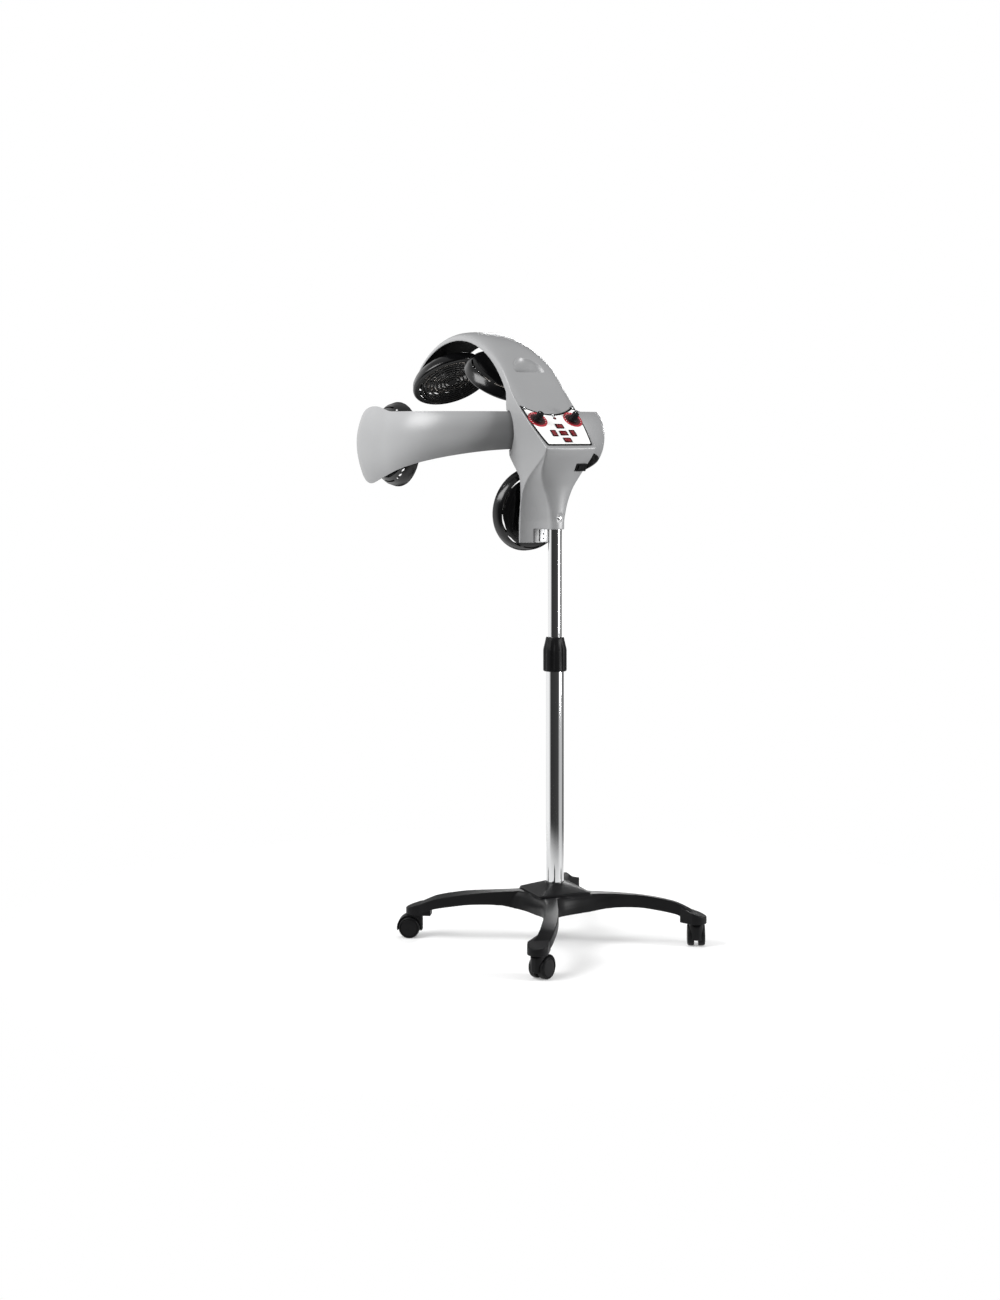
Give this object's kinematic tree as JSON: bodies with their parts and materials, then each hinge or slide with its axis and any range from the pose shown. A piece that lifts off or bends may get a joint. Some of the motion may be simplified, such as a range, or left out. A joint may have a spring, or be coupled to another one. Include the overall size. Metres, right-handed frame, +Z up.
{
  "type": "hair color processor",
  "caption": "Rolling floor-stand hair color processor: arched grey head with round heaters on the arch, swinging arms and neck, sloping control panel, telescopic chrome mast, legs on casters.",
  "frame": {"origin": "on the floor, under the middle of the whole assembly", "axes": "+Z up along the mast, +Y towards the client, +X to the client's left as seen from the operator's side"},
  "size_m": [0.594, 0.853, 1.447],
  "materials": {
    "grey_plastic": "satin moulded grey",
    "black_plastic": "fine textured black",
    "gloss_black": "glossy black",
    "chrome": "bright chrome plate",
    "steel": "zinc plated steel",
    "white_plastic": "satin white panel",
    "red_plastic": "glossy red",
    "element_metal": "dull heater tube",
    "board_green": "circuit board green"
  },
  "bodies": {
    "base": {"base_star": "black_plastic", "hub_cover": "black_plastic", "lower_tube": "chrome", "tube_bolt": "steel", "guide_bush": "black_plastic"},
    "collar": {"lock_collar": "black_plastic"},
    "mast": {"upper_tube": "chrome", "tube_glide": "black_plastic"},
    "head": {"head_shell": "grey_plastic", "arch_liner": "black_plastic", "neck_cover": "grey_plastic", "pole_bracket": "steel", "clamp_screw": "steel", "control_panel": "white_plastic", "switch_block": "black_plastic", "indicator_lamp": "red_plastic", "heat_control": "steel", "timer_unit": "steel", "power_switch_frame": "black_plastic", "control_board": "board_green", "left_hinge_pin": "steel", "right_hinge_pin": "steel", "brow_heater_shell": "gloss_black", "brow_heater_grille": "gloss_black", "brow_heater_element": "element_metal", "crown_heater_shell": "gloss_black", "crown_heater_grille": "gloss_black", "crown_heater_element": "element_metal", "neck_heater_shell": "gloss_black", "neck_heater_grille": "gloss_black", "neck_heater_element": "element_metal"},
    "left_arm": {"left_arm": "grey_plastic", "left_arm_cover": "black_plastic", "left_heater_shell": "gloss_black", "left_heater_grille": "gloss_black", "left_heater_element": "element_metal"},
    "right_arm": {"right_arm": "grey_plastic", "right_arm_cover": "black_plastic", "right_heater_shell": "gloss_black", "right_heater_grille": "gloss_black", "right_heater_element": "element_metal"},
    "heat_knob": {"heat_knob": "black_plastic"},
    "timer_knob": {"timer_knob": "black_plastic"},
    "power_rocker": {"power_rocker": "black_plastic"},
    "brow_rocker": {"brow_rocker": "red_plastic"},
    "crown_rocker": {"crown_rocker": "red_plastic"},
    "neck_rocker": {"neck_rocker": "red_plastic"},
    "left_rocker": {"left_rocker": "red_plastic"},
    "right_rocker": {"right_rocker": "red_plastic"},
    "caster_1": {"caster_hood_1": "black_plastic"},
    "wheels_1": {"caster_wheels_1": "black_plastic"},
    "caster_2": {"caster_hood_2": "black_plastic"},
    "wheels_2": {"caster_wheels_2": "black_plastic"},
    "caster_3": {"caster_hood_3": "black_plastic"},
    "wheels_3": {"caster_wheels_3": "black_plastic"},
    "caster_4": {"caster_hood_4": "black_plastic"},
    "wheels_4": {"caster_wheels_4": "black_plastic"}
  },
  "joints": [
    {"name": "collar_twist", "type": "hinge", "parent": "base", "child": "collar", "pos_m": [0, -0.15277, 0.677], "axis": [0, 0, 1], "range_deg": [0, 90]},
    {"name": "mast_slide", "type": "slide", "parent": "base", "child": "mast", "axis": [0, 0, 1], "range_m": [-0.21, 0.195]},
    {"name": "head_swivel", "type": "hinge", "parent": "mast", "child": "head", "pos_m": [0, -0.15277, 1.05], "axis": [0, 0, 1], "range_deg": [-90, 90]},
    {"name": "left_arm_swing", "type": "hinge", "parent": "head", "child": "left_arm", "pos_m": [-0.062, -0.07977, 1.2], "axis": [0, 0, 1], "range_deg": [-10, 20]},
    {"name": "right_arm_swing", "type": "hinge", "parent": "head", "child": "right_arm", "pos_m": [0.062, -0.07977, 1.2], "axis": [0, 0, -1], "range_deg": [-10, 20]},
    {"name": "heat_knob_turn", "type": "hinge", "parent": "head", "child": "heat_knob", "pos_m": [-0.05, -0.15959, 1.23363], "axis": [0, -0.6858, 0.7278], "range_deg": [-180, 120]},
    {"name": "timer_knob_turn", "type": "hinge", "parent": "head", "child": "timer_knob", "pos_m": [0.05, -0.15959, 1.23363], "axis": [0, -0.6858, 0.7278], "range_deg": [-300, 0]},
    {"name": "brow_rocker_tip", "type": "hinge", "parent": "head", "child": "brow_rocker", "pos_m": [0, -0.1712, 1.21169], "axis": [0, 0.7278, 0.6858], "range_deg": [-16, 0]},
    {"name": "left_rocker_tip", "type": "hinge", "parent": "head", "child": "left_rocker", "pos_m": [-0.0265, -0.1883, 1.19557], "axis": [-1, 0, 0], "range_deg": [-16, 0]},
    {"name": "crown_rocker_tip", "type": "hinge", "parent": "head", "child": "crown_rocker", "pos_m": [0, -0.1883, 1.19557], "axis": [0, 0.7278, 0.6858], "range_deg": [-16, 0]},
    {"name": "right_rocker_tip", "type": "hinge", "parent": "head", "child": "right_rocker", "pos_m": [0.0265, -0.1883, 1.19557], "axis": [-1, 0, 0], "range_deg": [-16, 0]},
    {"name": "neck_rocker_tip", "type": "hinge", "parent": "head", "child": "neck_rocker", "pos_m": [0, -0.20541, 1.17946], "axis": [0, 0.7278, 0.6858], "range_deg": [-16, 0]},
    {"name": "power_rocker_tip", "type": "hinge", "parent": "head", "child": "power_rocker", "pos_m": [0.04, -0.20227, 1.116], "axis": [0, -0.4226, 0.9063], "range_deg": [-16, 0]},
    {"name": "caster_swivel_1", "type": "hinge", "parent": "base", "child": "caster_1", "pos_m": [0.21748, 0.09741, 0.06], "axis": [0, 0, 1], "continuous": true},
    {"name": "caster_roll_1", "type": "hinge", "parent": "caster_1", "child": "wheels_1", "pos_m": [0.22498, 0.11041, 0.025], "axis": [-0.866, 0.5, 0], "continuous": true},
    {"name": "caster_swivel_2", "type": "hinge", "parent": "base", "child": "caster_2", "pos_m": [-0.25019, 0.06471, 0.06], "axis": [0, 0, 1], "continuous": true},
    {"name": "caster_roll_2", "type": "hinge", "parent": "caster_2", "child": "wheels_2", "pos_m": [-0.26217, 0.07374, 0.025], "axis": [-0.6018, -0.7986, 0], "continuous": true},
    {"name": "caster_swivel_3", "type": "hinge", "parent": "base", "child": "caster_3", "pos_m": [-0.21748, -0.40296, 0.06], "axis": [0, 0, 1], "continuous": true},
    {"name": "caster_roll_3", "type": "hinge", "parent": "caster_3", "child": "wheels_3", "pos_m": [-0.20339, -0.39783, 0.025], "axis": [-0.342, 0.9397, 0], "continuous": true},
    {"name": "caster_swivel_4", "type": "hinge", "parent": "base", "child": "caster_4", "pos_m": [0.25019, -0.37026, 0.06], "axis": [0, 0, 1], "continuous": true},
    {"name": "caster_roll_4", "type": "hinge", "parent": "caster_4", "child": "wheels_4", "pos_m": [0.25879, -0.35797, 0.025], "axis": [-0.8192, 0.5736, 0], "continuous": true}
  ]
}
